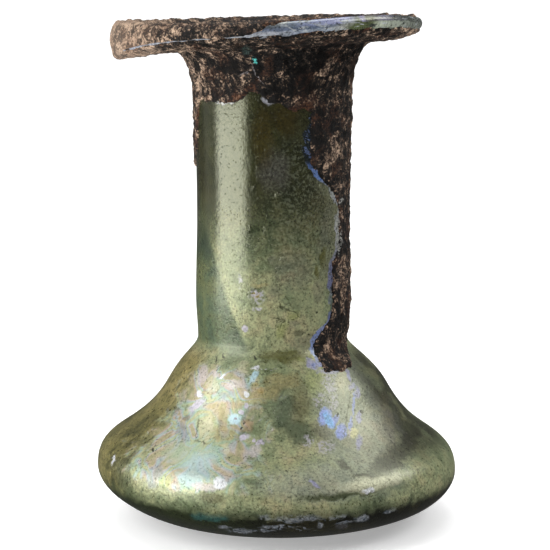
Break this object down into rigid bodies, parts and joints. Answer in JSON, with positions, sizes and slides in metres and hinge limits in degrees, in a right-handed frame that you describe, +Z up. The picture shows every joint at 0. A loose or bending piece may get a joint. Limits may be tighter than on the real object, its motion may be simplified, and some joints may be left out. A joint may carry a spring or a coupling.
{
  "type": "glass unguentarium",
  "caption": "Ancient blown glass flask with a flat bulb, a tall neck creased at its root and a wide turned-out rim with a thick lobe.",
  "frame": {"origin": "centre of the flat foot that the flask stands on", "axes": "+Z up through the neck, -Y to the side shown in the picture, +X to the picture's right"},
  "size_m": [0.065, 0.065, 0.0903],
  "materials": {
    "weathered_glass": "weathered, iridescent olive-green",
    "burial_crust": "rough brown-black mineral deposit"
  },
  "bodies": {
    "root": {"vessel": "weathered_glass"}
  },
  "joints": []
}
